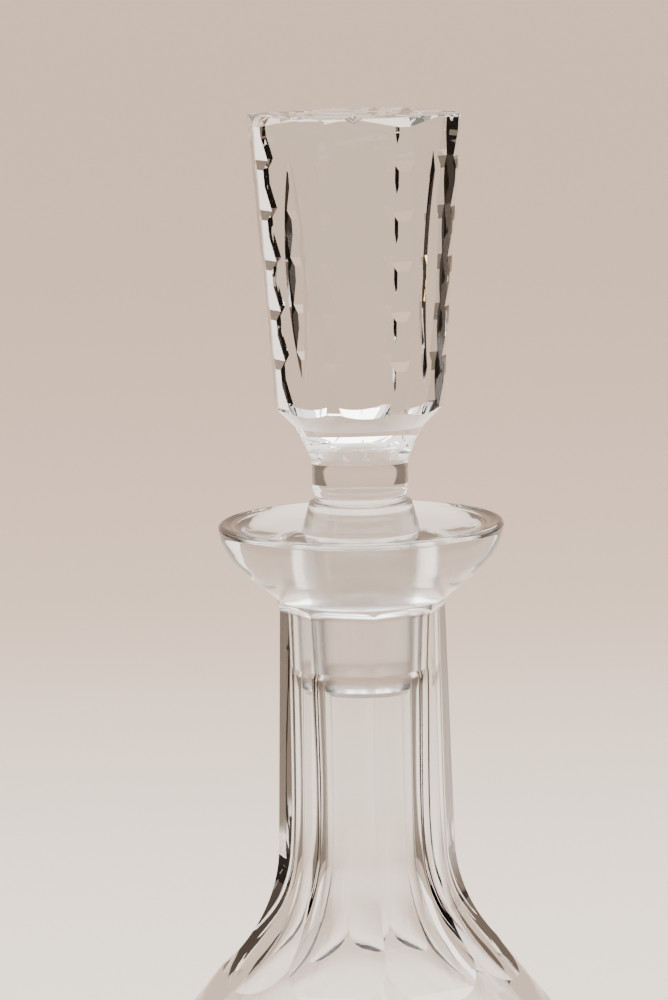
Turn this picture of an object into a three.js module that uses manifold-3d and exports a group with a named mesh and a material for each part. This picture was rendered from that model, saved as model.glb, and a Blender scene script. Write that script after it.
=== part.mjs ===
// Cut-crystal wine decanter with its ground-in stopper.
// Millimetres, +Z up, origin at the centre of the flat foot.
import * as THREE from 'three';
import { mergeVertices } from 'three/addons/utils/BufferGeometryUtils.js';
import Module from 'manifold-3d';

// ---- driving dimensions -------------------------------------------------
const FACETS = 8;                 // neck panels, heel panels and stopper faces alike
const VESSEL_SEGMENTS = 48;       // facets round the turned vessel
const STOPPER_SEGMENTS = 48;      // facets round the turned part of the stopper

const RIM_HEIGHT = 234;           // top plane of the saucer rim above the foot
const RIM_RADIUS = 33.1;
const DISH_DEPTH = 2;             // saucer floor below the rim
const MOUTH_RADIUS = 13.95;       // ground seat at the dish floor
const SEAT_DEPTH = 34;            // lower end of the ground seat below the rim
const SEAT_END_RADIUS = 12.36;
const LIP_RADIUS = 1.1;           // rounding of the saucer's edge

const PANEL_TOP_DISTANCE = 17.9;  // axis to panel just below the saucer
const PANEL_LOW_DISTANCE = 19.2;  // axis to panel where the flare begins
const PANEL_TOP_BELOW_RIM = 20.8;
const PANEL_FLARE_BELOW_RIM = 75.7;
const PANEL_TOP_RUNOUT = 3;       // wheel radius that ends a panel under the saucer
const PANEL_FLARE_RADIUS = 38;    // wheel radius that carries a panel onto the shoulder
const PANEL_TURN = -82.5;         // direction of one neck ridge, degrees from +X

const PUNT_RADIUS = 34;           // hollow under the foot
const PUNT_DEPTH = 3.5;
const HEEL_PANEL_DISTANCE = 43;   // axis to heel panel at the foot
const HEEL_PANEL_LEAN = 0.5;      // outward run of a heel panel for each mm of rise
const HEEL_PANEL_RISE = 50;

const HEAD_TOP = 94;              // stopper heights, from the rim plane
const HEAD_BOTTOM = 22.7;
const HEAD_TOP_CORNER = 25.6;     // radius of the head's sharp corners
const HEAD_LOW_CORNER = 20.4;
const HEAD_LOW_LEVEL = 27;        // level at which HEAD_LOW_CORNER is taken
const HEAD_TURN = -62;            // direction of one head corner, degrees from +X
const BAND_TOP_WIDTH = 3.1;       // flat ground along every other upright corner
const BAND_LOW_WIDTH = 2.4;
const THIN_BAND_SHARE = 0.56;     // width of the bands between, as a share of the broad ones
const NOTCH_COUNT = 6;
const NOTCH_PITCH = 11.4;
const NOTCH_FIRST = 9.5;          // first notch below the head's top
const NOTCH_DEPTH = 0.6;
const THIN_NOTCH_SHARE = 0.7;     // depth of the notches in a thin band, as a share of the others
const NOTCH_RISE = 5.6;           // long upper slope of a notch
const NOTCH_FALL = 2.2;           // short lower slope
const NOTCH_OVERRUN = 1.1;        // how far the cut runs past the band
const LEAF_WIDTH = 6.2;           // long mitre cut on every other face
const LEAF_LENGTH = 54;
const LEAF_DEPTH = 1.65;
const LEAF_MIDDLE = 59.5;         // height of the cut's middle above the rim plane
const STAR_DEPTH = 1.2;           // radial mitre on top, at its outer end
const STAR_WIDTH = 5.8;
const STAR_START = 9;             // radius at which a ray begins
const STAR_TURN = -90;            // direction of one ray, degrees from +X
const SHOULDER_DROP = 2;          // sloping facet across every other corner of the head's top
const SHOULDER_RUN = 3.8;
const ARRIS = 0.3;                // chamfer along the other edges of the head's top
const PLUG_GAP = 0.3;             // between the plug and its seat
const PLUG_LENGTH = 39.4;         // plug end below the rim plane
const PLUG_BEVEL = 0.9;

const CLEAR = 60;                 // outer reach of the cutters, beyond every part of the piece
const OVERSHOOT = 1;              // how far a cutter stands out of the surface that it cuts

// ---- outlines, [radius, height] -----------------------------------------
const BELLY = [
  [47, 0], [49.4, 4.5], [54.5, 14], [60.3, 28], [63.5, 44], [64, 58], [62.6, 74], [59, 88],
  [54, 100], [48.4, 110], [44.2, 116], [39.6, 122], [31.7, 132],
];
const NECK_BLANK = [[27.3, 138.4], [25, 146], [23.5, 158], [22.5, 174], [19.8, 214]];
const SAUCER = [
  [19.8, 216.2], [20.9, 217.3], [22.7, 218.8], [26.2, 221.7], [29.5, 224.8], [31.4, 227.6],
  [32.6, 230.4], [RIM_RADIUS, RIM_HEIGHT - LIP_RADIUS],
];
const DISH = [[30, 233.3], [26, 232.5], [21, RIM_HEIGHT - DISH_DEPTH]];
const BORE = [[12.6, 198.8], [12.3, 188], [12, 172]];
const CAVITY = [
  [12.2, 160], [13, 153], [14.8, 146], [17.5, 140], [23.5, 132], [33, 122], [37.9, 116],
  [42.3, 110], [48.3, 100], [53.6, 88], [57.4, 74], [59, 58], [58.3, 46], [55.5, 35],
  [51, 26], [44, 18.5], [34, 14], [20, 12.3], [0, 12],
];
const WAIST = [
  [13.55, 233], [12.8, 235.6], [11.95, 238.5], [11.6, 238.9], [10.7, 239.2], [10.6, 240.2],
  [10.9, 241.2], [11.15, 242],
];
const COLLAR = [
  [11.2, 248], [11.6, 249.4], [12.3, 251], [13.2, 252.9], [14.1, 254.8],
  [15.4, RIM_HEIGHT + HEAD_BOTTOM],
];
const HEAD_BLANK = [
  [21.2, 262.6], [28, 263.2], [28, RIM_HEIGHT + HEAD_TOP], [0, RIM_HEIGHT + HEAD_TOP],
];

const TURN = 360 / FACETS;
const rad = THREE.MathUtils.degToRad;
const apothem = Math.cos(rad(TURN / 2));

const wasm = await Module();
wasm.setup();

// ---- solids -------------------------------------------------------------
function solidFrom(geometry) {
  const bare = geometry.clone();
  bare.deleteAttribute('normal');
  bare.deleteAttribute('uv');
  const merged = mergeVertices(bare, 1e-4);
  const index = merged.index.array;
  const kept = [];
  for (let i = 0; i < index.length; i += 3) {
    const [a, b, c] = [index[i], index[i + 1], index[i + 2]];
    if (a !== b && b !== c && c !== a) kept.push(a, b, c);
  }
  return new wasm.Manifold(new wasm.Mesh({
    numProp: 3,
    vertProperties: new Float32Array(merged.attributes.position.array),
    triVerts: new Uint32Array(kept),
  }));
}

function geometryFrom(solid) {
  const mesh = solid.getMesh();
  const geometry = new THREE.BufferGeometry();
  geometry.setAttribute('position', new THREE.BufferAttribute(mesh.vertProperties, 3));
  geometry.setIndex(new THREE.BufferAttribute(mesh.triVerts, 1));
  geometry.computeVertexNormals();
  return geometry;
}

// A turned solid about +Z from [radius, height] points that run anticlockwise.
function turned(points, segments) {
  const profile = points.map(([r, z]) => new THREE.Vector2(r, z));
  return solidFrom(new THREE.LatheGeometry(profile, segments).rotateX(Math.PI / 2));
}

// A straight cutter: an outline in the radial plane, as wide as given, facing a direction.
function wheelCut(points, width, degrees) {
  const outline = new THREE.Shape(points.map(([r, z]) => new THREE.Vector2(r, z)));
  const geometry = new THREE.ExtrudeGeometry(outline, { depth: width, bevelEnabled: false });
  geometry.rotateX(Math.PI / 2).translate(0, width / 2, 0).rotateZ(rad(degrees));
  return solidFrom(geometry);
}

function smooth(points, count) {
  const curve = new THREE.SplineCurve(points.map(([r, z]) => new THREE.Vector2(r, z)));
  return curve.getPoints(count).map((p) => [p.x, p.y]);
}

function arc(centre, radius, from, to, steps) {
  return Array.from({ length: steps + 1 }, (_, i) => {
    const angle = rad(from + ((to - from) * i) / steps);
    return [centre[0] + radius * Math.cos(angle), centre[1] + radius * Math.sin(angle)];
  });
}

// ---- vessel -------------------------------------------------------------
function vesselBlank() {
  const rim = RIM_HEIGHT;
  const puntRadius = (PUNT_RADIUS ** 2 + PUNT_DEPTH ** 2) / (2 * PUNT_DEPTH);
  const puntEdge = THREE.MathUtils.radToDeg(Math.acos(PUNT_RADIUS / puntRadius));
  const punt = arc([0, PUNT_DEPTH - puntRadius], puntRadius, 90, puntEdge, 4);
  const lip = arc([RIM_RADIUS - LIP_RADIUS, rim - LIP_RADIUS], LIP_RADIUS, 30, 105, 3);
  const mouthBevel = 0.5;
  const mouth = [
    [MOUTH_RADIUS + mouthBevel, rim - DISH_DEPTH],
    [MOUTH_RADIUS, rim - DISH_DEPTH - mouthBevel],
    [SEAT_END_RADIUS, rim - SEAT_DEPTH],
  ];
  return turned([
    ...punt, ...smooth(BELLY, 15), ...NECK_BLANK, ...smooth(SAUCER, 8), ...lip, ...DISH,
    ...mouth, ...BORE, ...smooth(CAVITY, 18),
  ], VESSEL_SEGMENTS);
}

// One neck panel: run-out under the saucer, straight length, long flare onto the shoulder.
function neckPanel(degrees) {
  const top = RIM_HEIGHT - PANEL_TOP_BELOW_RIM;
  const low = RIM_HEIGHT - PANEL_FLARE_BELOW_RIM;
  const runout = arc([PANEL_TOP_DISTANCE + PANEL_TOP_RUNOUT, top], PANEL_TOP_RUNOUT, 105, 180, 5);
  const flare = arc([PANEL_LOW_DISTANCE + PANEL_FLARE_RADIUS, low], PANEL_FLARE_RADIUS, 180, 242, 9);
  const outline = [...runout, ...flare, [CLEAR, flare.at(-1)[1]], [CLEAR, runout[0][1]]];
  return wheelCut(outline, 2 * CLEAR, degrees);
}

// One heel panel: a flat slice from the foot up the heel.
function heelPanel(degrees) {
  const face = (z) => [HEEL_PANEL_DISTANCE + HEEL_PANEL_LEAN * z, z];
  const outer = face(HEEL_PANEL_RISE)[0] + CLEAR;
  const outline = [
    face(-OVERSHOOT), [outer, -OVERSHOOT], [outer, HEEL_PANEL_RISE], face(HEEL_PANEL_RISE),
  ];
  return wheelCut(outline, 3 * CLEAR, degrees);
}

function vessel() {
  const cuts = [];
  for (let i = 0; i < FACETS; i += 1) {
    const middle = PANEL_TURN + TURN * (i + 0.5);
    cuts.push(neckPanel(middle), heelPanel(middle));
  }
  return vesselBlank().subtract(wasm.Manifold.union(cuts));
}

// ---- stopper ------------------------------------------------------------
const headCorner = (z) => THREE.MathUtils.mapLinear(
  z, HEAD_LOW_LEVEL, HEAD_TOP, HEAD_LOW_CORNER, HEAD_TOP_CORNER);
const bandWidth = (z) => THREE.MathUtils.mapLinear(
  z, HEAD_LOW_LEVEL, HEAD_TOP, BAND_LOW_WIDTH, BAND_TOP_WIDTH);
const bandDistance = (z, share) => (
  headCorner(z) - share * (bandWidth(z) / 2) * Math.tan(rad(TURN / 2)));
const faceDistance = (z) => headCorner(z) * apothem;

function stopperBlank() {
  const rim = RIM_HEIGHT;
  const plugAt = (below) => THREE.MathUtils.mapLinear(
    below, DISH_DEPTH, SEAT_DEPTH, MOUTH_RADIUS, SEAT_END_RADIUS) - PLUG_GAP;
  const plug = [
    [0, rim - PLUG_LENGTH],
    [plugAt(PLUG_LENGTH) - PLUG_BEVEL, rim - PLUG_LENGTH],
    [plugAt(PLUG_LENGTH - PLUG_BEVEL), rim - PLUG_LENGTH + PLUG_BEVEL],
    [plugAt(DISH_DEPTH), rim - DISH_DEPTH],
  ];
  return turned([...plug, ...WAIST, ...COLLAR, ...HEAD_BLANK], STOPPER_SEGMENTS);
}

// A flat ground on the head between two heights, at a distance that varies evenly with height.
function headFlat(distance, low, high, degrees) {
  const face = (z) => [distance(z), RIM_HEIGHT + z];
  const outline = [face(low), [CLEAR, RIM_HEIGHT + low], [CLEAR, RIM_HEIGHT + high], face(high)];
  return wheelCut(outline, 2 * CLEAR, degrees);
}

function headFace(degrees) {
  return headFlat(faceDistance, HEAD_BOTTOM - OVERSHOOT, HEAD_TOP + OVERSHOOT, degrees);
}

function headBand(share, degrees) {
  const distance = (z) => bandDistance(z, share);
  return headFlat(distance, HEAD_BOTTOM - OVERSHOOT, HEAD_TOP + OVERSHOOT, degrees);
}

// A facet along the head's top that falls by drop while it runs out by run.
function topFacet(edge, drop, run, degrees) {
  const distance = (z) => edge - (run / drop) * (z - HEAD_TOP + drop);
  return headFlat(distance, HEAD_TOP - 2 * drop, HEAD_TOP + OVERSHOOT, degrees);
}

function headNotches(share, depth, degrees) {
  const cuts = [];
  for (let i = 0; i < NOTCH_COUNT; i += 1) {
    const z = HEAD_TOP - NOTCH_FIRST - NOTCH_PITCH * i;
    const root = bandDistance(z, share) - depth;
    const past = (run) => [
      root + (bandDistance(z + run, share) - root) * NOTCH_OVERRUN,
      RIM_HEIGHT + z + run * NOTCH_OVERRUN,
    ];
    const low = past(-NOTCH_FALL);
    const high = past(NOTCH_RISE);
    const outline = [[root, RIM_HEIGHT + z], low, [CLEAR, low[1]], [CLEAR, high[1]], high];
    cuts.push(wheelCut(outline, CLEAR, degrees));
  }
  return cuts;
}

// A closed cutter from its corner points and outward triangles.
function pointedCut(corners, triangles, degrees) {
  const geometry = new THREE.BufferGeometry();
  geometry.setAttribute('position', new THREE.BufferAttribute(new Float32Array(corners.flat()), 3));
  geometry.setIndex(triangles);
  geometry.rotateZ(rad(degrees));
  return solidFrom(geometry);
}

// A long mitre down a face, pointed at both ends and deepest in the middle.
function leafCut(degrees) {
  const grow = 1 + OVERSHOOT / LEAF_DEPTH;
  const half = (LEAF_LENGTH / 2) * grow;
  const wide = (LEAF_WIDTH / 2) * grow;
  const middle = faceDistance(LEAF_MIDDLE);
  const lean = faceDistance(LEAF_MIDDLE + half) - middle;
  const z = RIM_HEIGHT + LEAF_MIDDLE;
  const corners = [
    [middle - LEAF_DEPTH, 0, z],
    [middle + OVERSHOOT - lean, 0, z - half],
    [middle + OVERSHOOT, wide, z],
    [middle + OVERSHOOT + lean, 0, z + half],
    [middle + OVERSHOOT, -wide, z],
  ];
  return pointedCut(corners, [0, 2, 1, 0, 3, 2, 0, 4, 3, 0, 1, 4, 1, 2, 3, 1, 3, 4], degrees);
}

// A radial mitre on the top face, deepest at the edge and running out towards the middle.
function starRay(degrees) {
  const reach = HEAD_TOP_CORNER + 2;
  const top = RIM_HEIGHT + HEAD_TOP;
  const half = (STAR_WIDTH / 2) * (1 + OVERSHOOT / STAR_DEPTH);
  const corners = [
    [STAR_START, 0, top],
    [reach, 0, top - STAR_DEPTH],
    [reach, half, top + OVERSHOOT],
    [reach, -half, top + OVERSHOOT],
    [STAR_START, 0, top + OVERSHOOT],
  ];
  return pointedCut(corners, [1, 2, 3, 0, 2, 1, 0, 1, 3, 0, 4, 2, 0, 3, 4, 2, 4, 3], degrees);
}

function stopper() {
  const cuts = [];
  const bandEdge = bandDistance(HEAD_TOP, 1);
  for (let i = 0; i < FACETS; i += 1) {
    const corner = HEAD_TURN + TURN * i;
    const middle = corner + TURN / 2;
    const broad = i % 2 === 0;
    const share = broad ? 1 : THIN_BAND_SHARE;
    const depth = broad ? NOTCH_DEPTH : NOTCH_DEPTH * THIN_NOTCH_SHARE;
    cuts.push(headFace(middle), topFacet(faceDistance(HEAD_TOP), ARRIS, ARRIS, middle));
    cuts.push(headBand(share, corner), ...headNotches(share, depth, corner));
    cuts.push(starRay(STAR_TURN + TURN * i));
    if (broad) cuts.push(topFacet(bandEdge, SHOULDER_DROP, SHOULDER_RUN, corner), leafCut(middle));
  }
  return stopperBlank().subtract(wasm.Manifold.union(cuts));
}

// ---- scene graph --------------------------------------------------------
function crystalMesh(name, solid, colour, roughness) {
  const material = new THREE.MeshStandardMaterial({
    color: colour, roughness, metalness: 0, transparent: true, opacity: 0.35,
  });
  const mesh = new THREE.Mesh(geometryFrom(solid), material);
  mesh.name = name;
  return mesh;
}

const decanter = new THREE.Group();
decanter.add(crystalMesh('decanter_body', vessel(), 0xf3f5f5, 0.03));
decanter.add(crystalMesh('stopper', stopper(), 0xf1f4f6, 0.03));

export default decanter;
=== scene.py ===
"""Cut-crystal wine decanter: a panelled vessel with a saucer rim, and its ground-in stopper.

Each piece is turned as a smooth blank and then cut, as the real one is: flat panels ground down the
neck and round the heel, and mitre cuts on the stopper's head and under the foot.
"""
import math

import bmesh
import bpy
from bpy.props import FloatProperty, FloatVectorProperty, IntProperty, PointerProperty
from mathutils import Matrix, Vector


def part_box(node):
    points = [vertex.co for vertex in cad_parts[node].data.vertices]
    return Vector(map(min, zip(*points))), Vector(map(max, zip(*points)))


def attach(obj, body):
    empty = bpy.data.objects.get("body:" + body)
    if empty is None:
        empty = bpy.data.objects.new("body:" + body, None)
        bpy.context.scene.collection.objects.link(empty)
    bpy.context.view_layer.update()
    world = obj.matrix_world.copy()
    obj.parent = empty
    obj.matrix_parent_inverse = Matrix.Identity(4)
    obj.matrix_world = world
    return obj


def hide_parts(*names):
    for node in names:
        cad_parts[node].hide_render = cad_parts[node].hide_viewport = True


bl_info = {
    "name": "Crystal Decanter",
    "version": (1, 0, 0),
    "blender": (4, 5, 0),
    "location": "3D View > Sidebar > Decanter",
    "description": "Builds a cut-crystal wine decanter with its ground-in stopper",
    "category": "Add Mesh",
}

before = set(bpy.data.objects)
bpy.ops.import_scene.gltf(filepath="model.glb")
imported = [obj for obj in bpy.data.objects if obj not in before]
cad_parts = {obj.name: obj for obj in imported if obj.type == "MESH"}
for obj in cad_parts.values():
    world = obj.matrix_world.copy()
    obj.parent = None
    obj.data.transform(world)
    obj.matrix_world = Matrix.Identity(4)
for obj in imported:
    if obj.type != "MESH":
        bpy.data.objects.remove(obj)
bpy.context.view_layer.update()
VESSEL_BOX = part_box("decanter_body")
STOPPER_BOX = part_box("stopper")

MM = 0.001
RIM = VESSEL_BOX[1][2]                    # top plane of the saucer rim
HEAD_TOP = STOPPER_BOX[1][2] - RIM        # stopper's top above the rim
PLUG_END = STOPPER_BOX[0][2] - RIM        # plug's end, below the rim so negative
BELLY_RADIUS = VESSEL_BOX[1][0]
CREASE = math.radians(14)                 # faces that meet at more than this stay crisp

# ---- sizes of the vessel's cuts, in millimetres -------------------------
PUNT_SPHERE_RADIUS = 166.9                # the hollow under the foot is part of this sphere
PUNT_DEPTH = 3.5
PUNT_RADIUS = 34
PUNT_REACH = 11                           # degrees of the sphere's arc, one step for each
LIP_RADIUS = 1.1                          # rounding of the saucer's edge
DISH_DEPTH = 2                            # saucer floor below the rim
PANEL_TOP_DISTANCE = 17.9                 # axis to panel just below the saucer
PANEL_LOW_DISTANCE = 19.2                 # axis to panel where the flare begins
PANEL_TOP_BELOW_RIM = 20.8
PANEL_FLARE_BELOW_RIM = 75.7
PANEL_TOP_RUNOUT = 3                      # wheel radius that ends a panel under the saucer
PANEL_FLARE_RADIUS = 38                   # wheel radius that carries a panel onto the shoulder
HEEL_DISTANCE = 43                        # axis to heel panel at the foot
HEEL_LEAN = 0.5                           # outward run of a heel panel for each mm of rise
HEEL_RISE = 50
FOOT_RAYS = 16                            # star under the foot
FOOT_RAY_START = (3.0, 0, 3.4)
FOOT_RAY_END = (33.0, 0, 0.3)
CLEAR = 60                                # reach of a neck cutter past the glass
HEEL_CLEAR = 90                           # and of a heel cutter

# ---- sizes of the stopper's cuts, in millimetres ------------------------
JOINT_GAP = 0.1                           # between the ground plug and its seat
HEAD_LOW_LEVEL = 27                       # level above the rim at which the low corner is taken
BAND_HALF_WIDTHS = (1.2, 1.55)            # broad upright bands, low and at the top
THIN_BAND_HALF_WIDTHS = (0.7, 0.85)
SHOULDER_DROP = 2.0                       # facet across every other corner of the head's top
SHOULDER_RUN = 3.8
ARRIS = 0.3                               # chamfer along the other edges of the head's top
NOTCH_FIRST = 9.5                         # first notch below the head's top
NOTCH_STEP = 11.4
NOTCH_FALL = 2.2                          # a notch's run below and above its root
NOTCH_RISE = 5.6
THIN_NOTCH_SHARE = 0.7                    # depth of the thin bands' notches
LEAF_MIDDLE = 59.5                        # long mitre on every other face, above the rim
LEAF_LENGTH = 54
LEAF_WIDTH = 6.2
LEAF_DEPTH = 1.65
STAR_START = 9                            # star on the head's top
STAR_WIDTH = 5.8
STAR_DEPTH = 1.2
STAR_TURN = math.radians(-90)             # direction of one of its rays

# ---- outlines: (radius, height) in millimetres --------------------------
BELLY_RUN = [
    (46.2, 0), (49.4, 4.5), (54.5, 14), (60.3, 28), (63.5, 44), (BELLY_RADIUS / MM, 58), (62.6, 74),
    (59, 88), (54, 100), (48.4, 110), (44.2, 116), (39.6, 122), (31.7, 132),
]
NECK_RUN = [(27.3, 138.4), (25, 146), (23.5, 158), (22.5, 174)]
BORE_AND_CAVITY = [
    (12.42, 196), (12.3, 188), (12.0, 172), (12.2, 160), (13, 153), (14.8, 146), (17.5, 140),
    (23.5, 132), (33, 122), (37.9, 116), (42.3, 110), (48.3, 100), (53.6, 88), (57.4, 74), (59, 58),
    (58.3, 46), (55.5, 35), (51, 26), (44, 18.5), (34, 14), (20, 12.3), (0, 12),
]
# These give the height below the rim (saucer, dish) or above it (stopper).
NECK_TOP = (19.8, 20)
SAUCER_RUN = [
    (19.8, 17.8), (20.9, 16.7), (22.7, 15.2), (26.2, 12.3), (29.5, 9.2), (31.4, 6.4), (32.6, 3.6),
]
DISH_RUN = [(31, 0.3), (28, 1.0), (24.5, 1.7), (21, DISH_DEPTH), (17, DISH_DEPTH)]
THROAT_BREAK = [(0.15, 2.12), (0, 2.5)]    # out from the seat's mouth, below the rim
SEAT_UNDERCUT = [(12.3, 0.5), (12.42, 1.2)]  # below the seat's end
PLUG_BEVEL = [(1.1, 0), (0.85, 0.12), (0, 1.3)]  # in from the plug's side, up from its end
PLUG_TOP = [(0, DISH_DEPTH), (0.06, 1.2)]  # in from the plug's side, below the rim
SKIRT_BELOW = (13.5, 0.8)
SKIRT_RUN = [(12.8, 1.6), (12.2, 3.6), (11.95, 4.5)]
GROOVE_RUN = [(11.7, 4.85), (10.9, 5.1), (10.6, 5.7), (10.65, 6.6), (11.0, 7.3), (11.15, 8)]
COLLAR_RUN = [
    (11.15, 11), (11.2, 14), (11.6, 15.4), (12.3, 17), (13.2, 18.9), (14.1, 20.8), (15.3, 22.6),
]
HEAD_RUN = [(15.5, 22.75), (21.2, 28.6), (28, 29.2)]


# ---- the values a user would change -------------------------------------
class VesselSettings(bpy.types.PropertyGroup):
    """Sizes of the vessel."""

    facets: IntProperty(
        name="Panels", description="Flat panels round the neck and round the heel",
        default=8, min=5, max=12)
    rim_radius: FloatProperty(
        name="Rim Radius", description="Outer radius of the saucer rim",
        default=33.1 * MM, unit="LENGTH", precision=4)
    mouth_radius: FloatProperty(
        name="Mouth Radius", description="Radius of the ground seat at the dish floor",
        default=13.72 * MM, unit="LENGTH", precision=4)
    seat_depth: FloatProperty(
        name="Seat Depth", description="Depth of the ground seat's lower end below the rim",
        default=34 * MM, unit="LENGTH", precision=4)
    seat_end_radius: FloatProperty(
        name="Seat End Radius", description="Radius of the ground seat at its lower end",
        default=12.16 * MM, unit="LENGTH", precision=4)
    panel_turn: FloatProperty(
        name="Panel Turn", description="Direction of one neck ridge from +X",
        default=math.radians(-82.5), subtype="ANGLE")
    segments: IntProperty(
        name="Segments", description="Steps round the turned blank", default=256, min=64, max=512)


class StopperSettings(bpy.types.PropertyGroup):
    """Sizes of the stopper."""

    top_corner: FloatProperty(
        name="Top Corner Radius", description="Radius of the head's sharp corners at its top",
        default=25.6 * MM, unit="LENGTH", precision=4)
    low_corner: FloatProperty(
        name="Low Corner Radius", description="Radius of the head's sharp corners near its bottom",
        default=20.4 * MM, unit="LENGTH", precision=4)
    head_turn: FloatProperty(
        name="Head Turn", description="Direction of one head corner from +X",
        default=math.radians(-62), subtype="ANGLE")
    notches: IntProperty(
        name="Notches", description="Notches along each upright corner", default=6, min=0, max=12)
    notch_depth: FloatProperty(
        name="Notch Depth", description="Depth of a corner notch below its flat band",
        default=0.6 * MM, unit="LENGTH", precision=5)
    segments: IntProperty(
        name="Segments", description="Steps round the turned blank", default=192, min=64, max=512)


class CrystalSettings(bpy.types.PropertyGroup):
    """Finish of the glass."""

    tint: FloatVectorProperty(
        name="Tint", description="Body colour of the glass", subtype="COLOR",
        default=(0.985, 0.985, 0.98), min=0, max=1)
    index: FloatProperty(
        name="Refraction", description="Index of refraction of lead crystal", default=1.545)
    satin: FloatProperty(
        name="Ground Roughness", description="Roughness of the ground joint",
        default=0.1, min=0, max=1, subtype="FACTOR")


class StageSettings(bpy.types.PropertyGroup):
    """Floor, light and camera."""

    near_floor: FloatVectorProperty(
        name="Near Floor", description="Floor colour round the piece", subtype="COLOR",
        default=(0.82, 0.735, 0.67), min=0, max=1)
    # painted shade: the floor darker and warmer in the distance
    shaded_far_floor: FloatVectorProperty(
        name="Far Floor", description="Floor colour in the distance", subtype="COLOR",
        default=(0.61, 0.455, 0.365), min=0, max=1)
    # painted shade: the floor turned dark at the sides and in front
    painted_shade_floor: FloatVectorProperty(
        name="Dark Floor", description="Floor colour at the sides and in front", subtype="COLOR",
        default=(0.10, 0.075, 0.055), min=0, max=1)
    camera_distance: FloatProperty(
        name="Camera Distance", description="Level distance from the axis to the camera",
        default=0.925, unit="LENGTH")
    camera_rise: FloatProperty(
        name="Camera Rise", description="Height of the camera above the saucer rim",
        default=0.147, unit="LENGTH")


# ---- outlines -----------------------------------------------------------
def millimetres(points):
    return [(r * MM, z * MM) for r, z in points]


def smooth_line(points, steps):
    """A Catmull-Rom line through [radius, height] points."""
    ends = [points[0], *points, points[-1]]
    line = []
    for before, a, b, after in zip(ends, ends[1:], ends[2:], ends[3:]):
        for i in range(steps):
            t = i / steps
            line.append(tuple(
                0.5 * (2 * q + (r - p) * t + (2 * p - 5 * q + 4 * r - s) * t * t
                       + (3 * q - p - 3 * r + s) * t ** 3)
                for p, q, r, s in zip(before, a, b, after)))
    return [*line, points[-1]]


def faired(line, passes):
    """The same line with its bends evened out; both ends stay."""
    for _ in range(passes):
        inner = [
            tuple((p + 2 * q + r) / 4 for p, q, r in zip(a, b, c))
            for a, b, c in zip(line, line[1:], line[2:])
        ]
        line = [line[0], *inner, line[-1]]
    return line


def soft_line(points, steps, passes):
    return faired(smooth_line(points, steps), passes)


def arc(centre, radius, start, end, steps):
    """Points from one angle to another, in degrees, on a circle."""
    angles = [math.radians(start + (end - start) * i / steps) for i in range(steps + 1)]
    return [(centre[0] + radius * math.cos(a), centre[1] + radius * math.sin(a)) for a in angles]


# ---- blanks and cutters -------------------------------------------------
def new_object(name, bm):
    mesh = bpy.data.meshes.new(name)
    bm.to_mesh(mesh)
    bm.free()
    piece = bpy.data.objects.new(name, mesh)
    bpy.context.scene.collection.objects.link(piece)
    return piece


def turned_blank(name, line, segments):
    """A solid of revolution about Z from a line that starts and ends on the axis."""
    bm = bmesh.new()
    verts = [bm.verts.new((r, 0, z)) for r, z in line]
    edges = [bm.edges.new(pair) for pair in zip(verts, verts[1:])]
    bmesh.ops.spin(
        bm, geom=[*verts, *edges], cent=(0, 0, 0), axis=(0, 0, 1), dvec=(0, 0, 0),
        angle=math.tau, steps=segments, use_merge=True)
    bmesh.ops.remove_doubles(bm, verts=bm.verts, dist=1e-6)
    bmesh.ops.recalc_face_normals(bm, faces=bm.faces)
    return new_object(name, bm)


def straight_cutter(outline, width, direction):
    """A bar whose section is an outline in the radial plane, centred on a direction."""
    bm = bmesh.new()
    face = bm.faces.new([bm.verts.new((r, -width / 2, z)) for r, z in outline])
    swept = bmesh.ops.extrude_face_region(bm, geom=[face])
    moved = [g for g in swept["geom"] if isinstance(g, bmesh.types.BMVert)]
    bmesh.ops.translate(bm, verts=moved, vec=(0, width, 0))
    bmesh.ops.recalc_face_normals(bm, faces=bm.faces)
    return turned_cutter(bm, direction)


def turned_cutter(bm, direction):
    """The cutter object, turned about Z from +X to its direction."""
    bmesh.ops.rotate(bm, verts=bm.verts, cent=(0, 0, 0), matrix=Matrix.Rotation(direction, 3, "Z"))
    return new_object("cutter", bm)


def mitre_cutter(start, end, normal, half_width, depth, proud, sag, steps, direction):
    """A wheel with a V edge, run from start to end over a surface with this normal.

    It stands proud of the surface, and the cut is deepest where sag says: 0.5 for a leaf that is
    deepest in its middle, 1 for a ray that deepens towards its end.
    """
    along = end - start
    side = along.normalized().cross(normal).normalized()
    slope = half_width / depth
    bm = bmesh.new()
    rings = []
    for i in range(steps + 1):
        t = i / steps
        reach = t / sag if sag >= 1 else 1 - (abs(t - sag) / sag) ** 2
        deep = depth * reach
        base = start + along * t
        spread = slope * (deep + proud)
        rings.append([
            bm.verts.new(base - normal * deep),
            bm.verts.new(base + normal * proud + side * spread),
            bm.verts.new(base + normal * proud - side * spread),
        ])
    for a, b in zip(rings, rings[1:]):
        for k in range(3):
            bm.faces.new((a[k], a[(k + 1) % 3], b[(k + 1) % 3], b[k]))
    bm.faces.new(rings[0])
    bm.faces.new(rings[-1])
    bmesh.ops.recalc_face_normals(bm, faces=bm.faces)
    return turned_cutter(bm, direction)


def cut(piece, cutters):
    """Takes the cutters out of a piece, one after another, and drops them."""
    for cutter in cutters:
        boolean = piece.modifiers.new("Cut", "BOOLEAN")
        boolean.operation = "DIFFERENCE"
        boolean.solver = "MANIFOLD"
        boolean.object = cutter
        graph = bpy.context.evaluated_depsgraph_get()
        mesh = bpy.data.meshes.new_from_object(piece.evaluated_get(graph))
        piece.modifiers.remove(boolean)
        old, piece.data = piece.data, mesh
        bpy.data.meshes.remove(old)
        spent = cutter.data
        bpy.data.objects.remove(cutter)
        bpy.data.meshes.remove(spent)
    return piece


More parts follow.
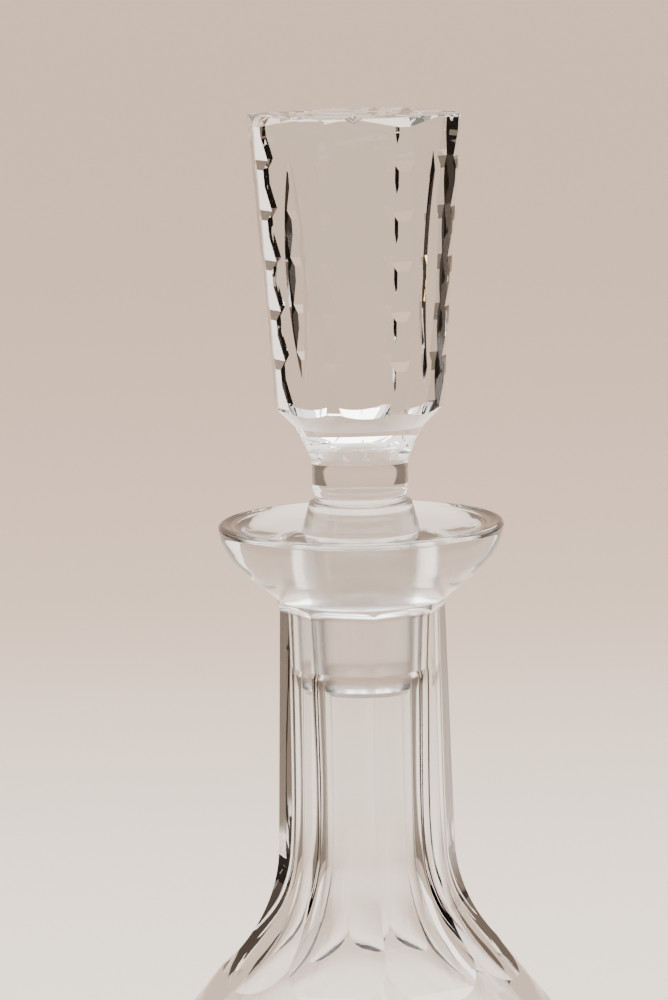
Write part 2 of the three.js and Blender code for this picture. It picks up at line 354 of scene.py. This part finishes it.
def polish(piece, name):
    """Smooth faces that stay crisp where they meet at more than the crease angle."""
    bm = bmesh.new()
    bm.from_mesh(piece.data)
    bmesh.ops.recalc_face_normals(bm, faces=bm.faces)
    if bm.calc_volume(signed=True) < 0:
        bmesh.ops.reverse_faces(bm, faces=bm.faces)
    bm.to_mesh(piece.data)
    open_edges = sum(1 for e in bm.edges if not e.is_manifold)
    bm.free()
    if open_edges:
        raise RuntimeError(f"{name} has {open_edges} open edges after its cuts")
    piece.data.name = name
    piece.data.materials.clear()
    piece.data.shade_smooth()
    piece.data.set_sharp_from_angle(angle=CREASE)
    return piece


# ---- vessel -------------------------------------------------------------
def vessel_line(sizes):
    """Half section of the uncut vessel, from the middle of the foot round to the middle of the floor."""
    rim = RIM / MM
    rim_radius = sizes.rim_radius / MM
    mouth = sizes.mouth_radius / MM
    seat_end = sizes.seat_end_radius / MM
    seat_low = rim - sizes.seat_depth / MM
    tilts = [math.radians(degrees) for degrees in range(PUNT_REACH + 1)]
    punt = [(PUNT_SPHERE_RADIUS * math.sin(t), PUNT_DEPTH - PUNT_SPHERE_RADIUS * (1 - math.cos(t)))
            for t in tilts]
    outside = soft_line(BELLY_RUN, 8, 14)
    neck = [*NECK_RUN, (NECK_TOP[0], rim - NECK_TOP[1])]
    saucer = soft_line(
        [*((r, rim - drop) for r, drop in SAUCER_RUN), (rim_radius, rim - LIP_RADIUS)], 6, 6)
    edge = arc((rim_radius - LIP_RADIUS, rim - LIP_RADIUS), LIP_RADIUS, 12, 108, 10)
    dish = soft_line(
        [*((r, rim - drop) for r, drop in DISH_RUN), (mouth + 0.5, rim - DISH_DEPTH)], 5, 3)
    throat = [(mouth + out, rim - drop) for out, drop in THROAT_BREAK]
    seat = [(seat_end, seat_low), *((r, seat_low - drop) for r, drop in SEAT_UNDERCUT)]
    cavity = soft_line(BORE_AND_CAVITY, 7, 16)
    return millimetres([
        *punt, (PUNT_RADIUS, 0), *outside, *neck, *saucer, *edge, *dish, *throat, *seat, *cavity])


def neck_panel(direction):
    """Cutter for one neck panel: run-out under the saucer, straight length, flare onto the shoulder."""
    rim = RIM / MM
    runout = arc((PANEL_TOP_DISTANCE + PANEL_TOP_RUNOUT, rim - PANEL_TOP_BELOW_RIM),
                 PANEL_TOP_RUNOUT, 105, 180, 12)
    flare = arc((PANEL_LOW_DISTANCE + PANEL_FLARE_RADIUS, rim - PANEL_FLARE_BELOW_RIM),
                PANEL_FLARE_RADIUS, 180, 242, 40)
    outline = [*runout, *flare, (CLEAR, flare[-1][1]), (CLEAR, runout[0][1])]
    return straight_cutter(millimetres(outline), 2 * CLEAR * MM, direction)


def heel_panel(direction):
    """Cutter for one slice up the heel."""
    foot, top = ((HEEL_DISTANCE + HEEL_LEAN * z, z) for z in (-1, HEEL_RISE))
    outline = [foot, (HEEL_CLEAR, foot[1]), (HEEL_CLEAR, top[1]), top]
    return straight_cutter(millimetres(outline), 2 * HEEL_CLEAR * MM, direction)


def foot_ray(direction):
    """Cutter for one ray of the star under the foot."""
    return mitre_cutter(
        Vector(FOOT_RAY_START) * MM, Vector(FOOT_RAY_END) * MM, Vector((0, 0, -1)),
        half_width=3.0 * MM, depth=1.3 * MM, proud=0.9 * MM, sag=0.5, steps=14, direction=direction)


def build_vessel(sizes):
    piece = turned_blank("decanter_vessel", vessel_line(sizes), sizes.segments)
    turn = math.tau / sizes.facets
    middles = [sizes.panel_turn + turn * (i + 0.5) for i in range(sizes.facets)]
    cutters = [neck_panel(m) for m in middles] + [heel_panel(m) for m in middles]
    cutters += [foot_ray(math.tau * i / FOOT_RAYS) for i in range(FOOT_RAYS)]
    return polish(cut(piece, cutters), "decanter_vessel")


# ---- stopper ------------------------------------------------------------
def stopper_line(vessel):
    """Half section of the uncut stopper, from the plug's end up to the head's top."""
    rim = RIM / MM
    mouth, end = vessel.mouth_radius / MM - JOINT_GAP, vessel.seat_end_radius / MM - JOINT_GAP
    plug_end = PLUG_END / MM
    taper = (mouth - end) / (vessel.seat_depth / MM - DISH_DEPTH)
    low = end + taper * (vessel.seat_depth / MM + plug_end)
    plug = [(0, rim + plug_end),
            *((low - inset, rim + plug_end + rise) for inset, rise in PLUG_BEVEL),
            *((mouth - inset, rim - drop) for inset, drop in PLUG_TOP)]
    skirt = soft_line([(SKIRT_BELOW[0], rim - SKIRT_BELOW[1]), *above(rim, SKIRT_RUN)], 4, 2)
    groove = soft_line(above(rim, GROOVE_RUN), 5, 4)
    collar = soft_line(above(rim, COLLAR_RUN), 5, 5)
    head = above(rim, HEAD_RUN)
    head_top = rim + HEAD_TOP / MM
    return millimetres([
        *plug, *skirt, *groove, *collar, *head, (head[-1][0], head_top), (0, head_top)])


def above(rim, points):
    return [(r, rim + rise) for r, rise in points]


class Head:
    """Where the flats of the stopper's head lie, in metres."""

    def __init__(self, sizes, facets):
        self.sizes = sizes
        self.half_turn = math.pi / facets
        self.low = RIM + HEAD_LOW_LEVEL * MM
        self.top = RIM + HEAD_TOP

    def blend(self, z, low, top):
        return low + (top - low) * (z - self.low) / (self.top - self.low)

    def corner(self, z):
        return self.blend(z, self.sizes.low_corner, self.sizes.top_corner)

    def face(self, z):
        return self.corner(z) * math.cos(self.half_turn)

    def ground_corner(self, z, half_widths):
        low, top = half_widths
        return self.corner(z) - self.blend(z, low * MM, top * MM) * math.tan(self.half_turn)

    def band(self, z):
        """The broad flat band down every other corner."""
        return self.ground_corner(z, BAND_HALF_WIDTHS)

    def thin_band(self, z):
        """The narrow band down the corners between."""
        return self.ground_corner(z, THIN_BAND_HALF_WIDTHS)

    def shoulder(self, z):
        """The small sloping facet across each corner at the top."""
        drop, run = SHOULDER_DROP * MM, SHOULDER_RUN * MM
        return self.band(self.top) - run * (z - self.top + drop) / drop

    def arris(self, z):
        """The narrow chamfer along the top of each face."""
        return self.face(self.top) - (z - self.top + ARRIS * MM)


def slice_off(piece, distance_at, direction, levels):
    """Grinds one flat on a piece: the plane lies at distance_at(z) from the axis at two levels."""
    low, high = levels
    a = Vector((distance_at(low), 0, low))
    b = Vector((distance_at(high), 0, high))
    normal = Vector((0, 1, 0)).cross(b - a).normalized()
    spin = Matrix.Rotation(direction, 3, "Z")
    bm = bmesh.new()
    bm.from_mesh(piece.data)
    ground = bmesh.ops.bisect_plane(
        bm, geom=[*bm.verts, *bm.edges, *bm.faces], dist=1e-7, plane_co=spin @ a,
        plane_no=spin @ normal, clear_outer=True)
    rim = [g for g in ground["geom_cut"] if isinstance(g, bmesh.types.BMEdge)]
    bmesh.ops.holes_fill(bm, edges=rim, sides=0)
    bm.to_mesh(piece.data)
    bm.free()


def notch_cutters(head, band, depth, direction):
    """Cutters for the row of notches down one upright corner."""
    past = 1.1                            # a notch's sides run on this much past the band
    far, width = 40 * MM, 20 * MM
    cutters = []
    for i in range(head.sizes.notches):
        z = head.top - (NOTCH_FIRST + NOTCH_STEP * i) * MM
        root = band(z) - depth
        low, high = ((root + (band(z + run) - root) * past, z + run * past)
                     for run in (-NOTCH_FALL * MM, NOTCH_RISE * MM))
        outline = [(root, z), low, (far, low[1]), (far, high[1]), high]
        cutters.append(straight_cutter(outline, width, direction))
    return cutters


def leaf_cutter(head, direction):
    """Cutter for the long mitre down a face."""
    middle, half = RIM + LEAF_MIDDLE * MM, LEAF_LENGTH / 2 * MM
    low, high = (Vector((head.face(z), 0, z)) for z in (middle - half, middle + half))
    normal = Vector((0, 1, 0)).cross(high - low).normalized()
    return mitre_cutter(
        low, high, normal, half_width=LEAF_WIDTH / 2 * MM, depth=LEAF_DEPTH * MM, proud=0.25 * MM,
        sag=0.5, steps=36, direction=direction)


def star_cutter(head, direction):
    """Cutter for one ray of the star on the head's top, run out past the corners."""
    start = Vector((STAR_START * MM, 0, head.top))
    end = Vector((head.sizes.top_corner + 2 * MM, 0, head.top))
    return mitre_cutter(
        start, end, Vector((0, 0, 1)), half_width=STAR_WIDTH / 2 * MM, depth=STAR_DEPTH * MM,
        proud=0.5 * MM, sag=1, steps=2, direction=direction)


def build_stopper(sizes, vessel):
    piece = turned_blank("ground_stopper", stopper_line(vessel), sizes.segments)
    head = Head(sizes, vessel.facets)
    levels = (head.low, head.top)
    turn = 2 * head.half_turn
    corners = [sizes.head_turn + turn * i for i in range(vessel.facets)]
    for corner in corners:
        slice_off(piece, head.face, corner + turn / 2, levels)
    bands = [head.thin_band if i % 2 else head.band for i in range(vessel.facets)]
    for corner, band in zip(corners, bands):
        slice_off(piece, band, corner, levels)
    for corner in corners[::2]:
        slice_off(piece, head.shoulder, corner, (head.top - SHOULDER_DROP * MM, head.top))
    for corner in corners:
        slice_off(piece, head.arris, corner + turn / 2, (head.top - ARRIS * MM, head.top))
    cutters = []
    for i, corner in enumerate(corners):
        depth = sizes.notch_depth * (THIN_NOTCH_SHARE if i % 2 else 1)
        cutters += notch_cutters(head, bands[i], depth, corner)
        cutters.append(star_cutter(head, STAR_TURN + turn * i))
        if i % 2 == 0:
            cutters.append(leaf_cutter(head, corner + turn / 2))
    return polish(cut(piece, cutters), "ground_stopper")


# ---- glass --------------------------------------------------------------
VESSEL_RIPPLE = 0.02 * MM                 # height of the faint waves in each glass
STOPPER_RIPPLE = 0.01 * MM
GROUND_SEAT = (0.05 * MM, 0.2 * MM)       # satin this far in from the seat's end, out from its mouth
GROUND_SEAT_TOP = 2.4 * MM                # satin ends this far below the rim, on the seat
GROUND_PLUG_TOP = 1.9 * MM                # and on the plug
GROUND_PLUG_END = 0.05 * MM               # the plug's flat end is polished
GROUND_PLUG_RADII = (10.7 * MM, 14.0 * MM)


def node(tree, kind, at=(0, 0), **values):
    made = tree.nodes.new(kind)
    made.location = at
    for key, value in values.items():
        setattr(made, key, value)
    return made


def hand_polish_group():
    """Faint marks that cutting, polishing and blowing leave in crystal.

    Gives a roughness, a height for bump and a slightly varying body colour.
    """
    name = "Hand Polish"
    if name in bpy.data.node_groups:
        return bpy.data.node_groups[name]
    group = bpy.data.node_groups.new(name, "ShaderNodeTree")
    sockets = group.interface
    sockets.new_socket(name="Vector", in_out="INPUT", socket_type="NodeSocketVector")
    for title, value in (("Polish", 0.012), ("Haze", 0.01), ("Ground Roughness", 0.16)):
        made = sockets.new_socket(name=title, in_out="INPUT", socket_type="NodeSocketFloat")
        made.default_value = value
    sockets.new_socket(name="Ground Mask", in_out="INPUT", socket_type="NodeSocketFloat")
    made = sockets.new_socket(name="Tint", in_out="INPUT", socket_type="NodeSocketColor")
    made.default_value = (0.985, 0.985, 0.98, 1)
    sockets.new_socket(name="Color", in_out="OUTPUT", socket_type="NodeSocketColor")
    sockets.new_socket(name="Roughness", in_out="OUTPUT", socket_type="NodeSocketFloat")
    sockets.new_socket(name="Height", in_out="OUTPUT", socket_type="NodeSocketFloat")

    given = node(group, "NodeGroupInput", (-900, 0))
    out = node(group, "NodeGroupOutput", (700, 0))
    link = group.links.new

    wipe = node(group, "ShaderNodeTexNoise", (-600, 260))
    wipe.inputs["Scale"].default_value = 46
    wipe.inputs["Detail"].default_value = 4
    link(given.outputs["Vector"], wipe.inputs["Vector"])
    haze = node(group, "ShaderNodeMath", (-380, 260), operation="MULTIPLY_ADD")
    link(wipe.outputs["Fac"], haze.inputs[0])
    link(given.outputs["Haze"], haze.inputs[1])
    link(given.outputs["Polish"], haze.inputs[2])
    drawn = node(group, "ShaderNodeMapping", (-780, 20))
    drawn.inputs["Scale"].default_value = (900, 900, 40)
    link(given.outputs["Vector"], drawn.inputs["Vector"])
    grain = node(group, "ShaderNodeTexNoise", (-600, 20))
    grain.inputs["Scale"].default_value = 1
    grain.inputs["Detail"].default_value = 3
    link(drawn.outputs["Vector"], grain.inputs["Vector"])
    satin = node(group, "ShaderNodeMath", (-380, 20), operation="MULTIPLY_ADD")
    satin.inputs[1].default_value = 0.16
    link(grain.outputs["Fac"], satin.inputs[0])
    link(given.outputs["Ground Roughness"], satin.inputs[2])
    rough = node(group, "ShaderNodeMix", (-120, 160), data_type="FLOAT")
    link(given.outputs["Ground Mask"], rough.inputs[0])
    link(haze.outputs[0], rough.inputs[2])
    link(satin.outputs[0], rough.inputs[3])
    link(rough.outputs[0], out.inputs["Roughness"])

    stretch = node(group, "ShaderNodeMapping", (-600, -260))
    stretch.inputs["Scale"].default_value = (260, 260, 14)
    link(given.outputs["Vector"], stretch.inputs["Vector"])
    cords = node(group, "ShaderNodeTexNoise", (-380, -260))
    cords.inputs["Scale"].default_value = 1
    cords.inputs["Detail"].default_value = 2
    link(stretch.outputs["Vector"], cords.inputs["Vector"])
    fine = node(group, "ShaderNodeMath", (-120, -200), operation="MULTIPLY")
    fine.inputs[1].default_value = 0.25
    link(grain.outputs["Fac"], fine.inputs[0])
    ground = node(group, "ShaderNodeMath", (80, -200), operation="MULTIPLY")
    link(fine.outputs[0], ground.inputs[0])
    link(given.outputs["Ground Mask"], ground.inputs[1])
    height = node(group, "ShaderNodeMath", (280, -240), operation="ADD")
    link(cords.outputs["Fac"], height.inputs[0])
    link(ground.outputs[0], height.inputs[1])
    link(height.outputs[0], out.inputs["Height"])

    shade = node(group, "ShaderNodeMix", (280, 260), data_type="RGBA", blend_type="MULTIPLY")
    shade.inputs[7].default_value = (0.985, 0.99, 1.0, 1)
    link(wipe.outputs["Fac"], shade.inputs[0])
    link(given.outputs["Tint"], shade.inputs[6])
    link(shade.outputs[2], out.inputs["Color"])
    return group


def between(tree, socket, low, high, at):
    """1 where a value lies between low and high, 0 outside."""
    above = node(tree, "ShaderNodeMath", at, operation="GREATER_THAN")
    below = node(tree, "ShaderNodeMath", (at[0], at[1] - 170), operation="LESS_THAN")
    both = node(tree, "ShaderNodeMath", (at[0] + 180, at[1] - 80), operation="MULTIPLY")
    for test, value in ((above, low), (below, high)):
        test.inputs[1].default_value = value
        tree.links.new(socket, test.inputs[0])
    tree.links.new(above.outputs[0], both.inputs[0])
    tree.links.new(below.outputs[0], both.inputs[1])
    return both.outputs[0]


def crystal(name, look, radius_range, height_range, ripple):
    """Lead crystal that is ground satin within a range of radius and height, and polished elsewhere."""
    material = bpy.data.materials.new(name)
    material.use_nodes = True
    tree = material.node_tree
    link = tree.links.new
    shader = tree.nodes["Principled BSDF"]
    shader.inputs["Transmission Weight"].default_value = 1
    shader.inputs["IOR"].default_value = look.index
    place = node(tree, "ShaderNodeTexCoord", (-1500, 0))
    split = node(tree, "ShaderNodeSeparateXYZ", (-1300, -200))
    link(place.outputs["Object"], split.inputs[0])
    flat = node(tree, "ShaderNodeVectorMath", (-1300, -420), operation="MULTIPLY")
    flat.inputs[1].default_value = (1, 1, 0)
    link(place.outputs["Object"], flat.inputs[0])
    radius = node(tree, "ShaderNodeVectorMath", (-1120, -420), operation="LENGTH")
    link(flat.outputs["Vector"], radius.inputs[0])
    ring = between(tree, radius.outputs["Value"], *radius_range, (-940, -420))
    level = between(tree, split.outputs["Z"], *height_range, (-940, -40))
    mask = node(tree, "ShaderNodeMath", (-580, -240), operation="MULTIPLY")
    link(ring, mask.inputs[0])
    link(level, mask.inputs[1])
    finish = node(tree, "ShaderNodeGroup", (-380, 0), node_tree=hand_polish_group())
    finish.inputs["Ground Roughness"].default_value = look.satin
    finish.inputs["Tint"].default_value = (*look.tint, 1)
    link(place.outputs["Object"], finish.inputs["Vector"])
    link(mask.outputs[0], finish.inputs["Ground Mask"])
    bump = node(tree, "ShaderNodeBump", (-180, -260))
    bump.inputs["Strength"].default_value = 1
    bump.inputs["Distance"].default_value = ripple
    link(finish.outputs["Height"], bump.inputs["Height"])
    link(finish.outputs["Color"], shader.inputs["Base Color"])
    link(finish.outputs["Roughness"], shader.inputs["Roughness"])
    link(bump.outputs["Normal"], shader.inputs["Normal"])
    return material


# ---- stage: metres, degrees and watts -----------------------------------
FLOOR_RADIUS = 14
FLOOR_DROP = 0.2 * MM                     # keeps the foot clear of the floor
FLOOR_FAR = (0.35, 1.3)                   # from here to here, the near colour turns into the far one: painted shade that darkens the floor into the distance
FLOOR_FRONT = (-0.3, -0.5)                # and the pale floor into the dark painted shade, in front
FLOOR_SIDE = (0.3, 0.5)                   # and into the dark painted shade at the sides
FLOOR_FLARE = 0.55                        # the pale strip widens by this for each metre to the back
ROOM_BEHIND_CAMERA = (0.055, 0.042, 0.033)
ROOM_AT_THE_BACK = (1.05, 0.78, 0.60)
ROOM_OVERHEAD = (2.6, 2.5, 2.35)
CAMERA_LENS = 145.6
CAMERA_PITCH, CAMERA_YAW, CAMERA_ROLL = 8.73, 0.381, 1.15
LIGHTS = [
    # name, place, aim, size, power, colour
    ("overhead", (0.1, 0.25, 1.5), (0, 0, 0.1), (1.3, 1.0), 26, (1, 0.98, 0.95)),
    ("left", (-1.15, 0.12, 0.52), (0, 0, 0.22), (0.9, 0.6), 3, (1, 0.95, 0.9)),
    ("right", (1.1, 0.42, 0.55), (0, 0, 0.22), (0.9, 0.6), 3, (1, 0.97, 0.94)),
    ("amber", (-0.75, -0.55, 0.42), (0, 0, 0.25), (0.08, 0.3), 0.4, (1, 0.62, 0.25)),
    ("blue", (0.75, -0.35, 0.95), (0, 0, 0.28), (0.1, 0.25), 0.4, (0.42, 0.6, 1)),
]


def floor_material(look):
    """A strip of pale paper, lightest round the piece, turned darker and warmer into the distance by
    painted shade, with dark painted shade at the sides and in front.
    """
    material = bpy.data.materials.new("pale_floor")
    material.use_nodes = True
    tree = material.node_tree
    link = tree.links.new
    shader = tree.nodes["Principled BSDF"]
    shader.inputs["Roughness"].default_value = 0.9
    place = node(tree, "ShaderNodeTexCoord", (-1300, 0))
    split = node(tree, "ShaderNodeSeparateXYZ", (-1100, 0))
    link(place.outputs["Object"], split.inputs[0])
    back = ramp(tree, split.outputs["Y"], *FLOOR_FAR, (-800, 160))
    front = ramp(tree, split.outputs["Y"], *FLOOR_FRONT, (-800, -160))
    width = node(tree, "ShaderNodeMath", (-1160, -320), operation="ABSOLUTE")
    link(split.outputs["X"], width.inputs[0])
    flare = node(tree, "ShaderNodeMath", (-980, -320), operation="MULTIPLY_ADD")
    flare.inputs[1].default_value = -FLOOR_FLARE
    link(split.outputs["Y"], flare.inputs[0])
    link(width.outputs[0], flare.inputs[2])
    side = ramp(tree, flare.outputs[0], *FLOOR_SIDE, (-800, -420))
    # where the dark painted shade lies: in front and at the sides
    edge = node(tree, "ShaderNodeMath", (-580, -280), operation="MAXIMUM")
    link(front, edge.inputs[0])
    link(side, edge.inputs[1])
    # painted shade: the floor turns darker and warmer away from the piece
    mix = node(tree, "ShaderNodeMix", (-500, 0), data_type="RGBA")
    mix.inputs[6].default_value = (*look.near_floor, 1)
    mix.inputs[7].default_value = (*look.shaded_far_floor, 1)
    link(back, mix.inputs[0])
    # paints the dark shade over the floor colour
    shade = node(tree, "ShaderNodeMix", (-260, 0), data_type="RGBA")
    shade.inputs[7].default_value = (*look.painted_shade_floor, 1)
    link(edge.outputs[0], shade.inputs[0])
    link(mix.outputs[2], shade.inputs[6])
    link(shade.outputs[2], shader.inputs["Base Color"])
    return material


def ramp(tree, socket, start, end, at):
    """0 at start, 1 at end, smooth between."""
    made = node(tree, "ShaderNodeMapRange", at, interpolation_type="SMOOTHSTEP")
    made.inputs["From Min"].default_value = start
    made.inputs["From Max"].default_value = end
    tree.links.new(socket, made.inputs["Value"])
    return made.outputs["Result"]


def studio_world():
    """A soft room: bright overhead, warm at the back, and dark on the camera's side."""
    world = bpy.data.worlds.new("studio")
    bpy.context.scene.world = world
    world.use_nodes = True
    tree = world.node_tree
    link = tree.links.new
    background = tree.nodes["Background"]
    place = node(tree, "ShaderNodeTexCoord", (-1100, 0))
    split = node(tree, "ShaderNodeSeparateXYZ", (-900, 0))
    link(place.outputs["Generated"], split.inputs[0])
    room = node(tree, "ShaderNodeMix", (-450, -60), data_type="RGBA")
    room.inputs[6].default_value = (*ROOM_BEHIND_CAMERA, 1)
    room.inputs[7].default_value = (*ROOM_AT_THE_BACK, 1)
    link(ramp(tree, split.outputs["Y"], -0.5, 0.6, (-700, -120)), room.inputs[0])
    sky = node(tree, "ShaderNodeMix", (-220, 60), data_type="RGBA")
    sky.inputs[7].default_value = (*ROOM_OVERHEAD, 1)
    link(ramp(tree, split.outputs["Z"], 0.4, 0.85, (-700, 200)), sky.inputs[0])
    link(room.outputs[2], sky.inputs[6])
    link(sky.outputs[2], background.inputs["Color"])
    background.inputs["Strength"].default_value = 1.0


def softbox(name, place, aim, size, power, colour):
    data = bpy.data.lights.new(name, "AREA")
    data.shape = "RECTANGLE"
    data.size, data.size_y = size
    data.energy = power
    data.color = colour
    light = bpy.data.objects.new(name, data)
    bpy.context.scene.collection.objects.link(light)
    light.location = place
    light.rotation_euler = (Vector(aim) - Vector(place)).to_track_quat("-Z", "Y").to_euler()


def place_camera(look):
    """A long lens a little above the stopper, looking slightly down."""
    pitch, yaw, roll = (math.radians(a) for a in (CAMERA_PITCH, CAMERA_YAW, CAMERA_ROLL))
    data = bpy.data.cameras.new("camera")
    data.sensor_width = 36
    data.lens = CAMERA_LENS
    data.clip_start, data.clip_end = 0.01, 100
    camera = bpy.data.objects.new("camera", data)
    bpy.context.scene.collection.objects.link(camera)
    turn = Matrix.Rotation(yaw, 4, "Z") @ Matrix.Rotation(math.pi / 2 - pitch, 4, "X")
    camera.matrix_world = (
        Matrix.Translation((0, -look.camera_distance, RIM + look.camera_rise))
        @ turn @ Matrix.Rotation(-roll, 4, "Z"))
    bpy.context.scene.camera = camera


# ---- operators ----------------------------------------------------------
class DECANTER_OT_stage(bpy.types.Operator):
    """Lay the pale floor, hang the soft lights and place the camera"""

    bl_idname = "decanter.stage"
    bl_label = "Stage"

    def execute(self, context):
        look = context.scene.decanter_stage
        place_camera(look)
        studio_world()
        bm = bmesh.new()
        under_foot = Matrix.Translation((0, 0, -FLOOR_DROP))
        bmesh.ops.create_circle(
            bm, cap_ends=True, segments=96, radius=FLOOR_RADIUS, matrix=under_foot)
        floor = new_object("floor", bm)
        floor.data.materials.append(floor_material(look))
        for light in LIGHTS:
            softbox(*light)
        return {"FINISHED"}


class DECANTER_OT_vessel(bpy.types.Operator):
    """Turn and cut the vessel and give it its crystal"""

    bl_idname = "decanter.vessel"
    bl_label = "Vessel"

    def execute(self, context):
        sizes = context.scene.decanter_vessel
        piece = build_vessel(sizes)
        inner, outer = GROUND_SEAT
        radii = (sizes.seat_end_radius - inner, sizes.mouth_radius + outer)
        heights = (RIM - sizes.seat_depth, RIM - GROUND_SEAT_TOP)
        piece.data.materials.append(crystal(
            "clear_vessel_crystal", context.scene.decanter_crystal, radii, heights, VESSEL_RIPPLE))
        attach(piece, "vessel")
        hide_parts("decanter_body")
        return {"FINISHED"}


class DECANTER_OT_stopper(bpy.types.Operator):
    """Turn and cut the stopper and give it its crystal"""

    bl_idname = "decanter.stopper"
    bl_label = "Stopper"

    def execute(self, context):
        scene = context.scene
        piece = build_stopper(scene.decanter_stopper, scene.decanter_vessel)
        heights = (RIM + PLUG_END + GROUND_PLUG_END, RIM - GROUND_PLUG_TOP)
        piece.data.materials.append(crystal(
            "clear_stopper_crystal", scene.decanter_crystal, GROUND_PLUG_RADII, heights,
            STOPPER_RIPPLE))
        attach(piece, "stopper")
        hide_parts("stopper")
        return {"FINISHED"}


class DECANTER_PT_build(bpy.types.Panel):
    """Lists the decanter's pieces and their values"""

    bl_label = "Decanter"
    bl_idname = "DECANTER_PT_build"
    bl_space_type = "VIEW_3D"
    bl_region_type = "UI"
    bl_category = "Decanter"

    def draw(self, context):
        scene = context.scene
        for operator, settings in (
                ("decanter.stage", scene.decanter_stage),
                ("decanter.vessel", scene.decanter_vessel),
                ("decanter.stopper", scene.decanter_stopper)):
            box = self.layout.box()
            box.operator(operator)
            for name in settings.__annotations__:
                box.prop(settings, name)
        box = self.layout.box()
        box.label(text="Crystal")
        for name in scene.decanter_crystal.__annotations__:
            box.prop(scene.decanter_crystal, name)


CLASSES = (
    VesselSettings, StopperSettings, CrystalSettings, StageSettings,
    DECANTER_OT_stage, DECANTER_OT_vessel, DECANTER_OT_stopper, DECANTER_PT_build,
)


def register():
    for cls in CLASSES:
        bpy.utils.register_class(cls)
    bpy.types.Scene.decanter_vessel = PointerProperty(type=VesselSettings)
    bpy.types.Scene.decanter_stopper = PointerProperty(type=StopperSettings)
    bpy.types.Scene.decanter_crystal = PointerProperty(type=CrystalSettings)
    bpy.types.Scene.decanter_stage = PointerProperty(type=StageSettings)


def unregister():
    for name in ("decanter_stage", "decanter_crystal", "decanter_stopper", "decanter_vessel"):
        delattr(bpy.types.Scene, name)
    for cls in reversed(CLASSES):
        bpy.utils.unregister_class(cls)


def main():
    register()
    bpy.ops.decanter.stage()
    bpy.ops.decanter.vessel()
    bpy.ops.decanter.stopper()
    bpy.context.view_layer.update()


if __name__ == "__main__":
    main()
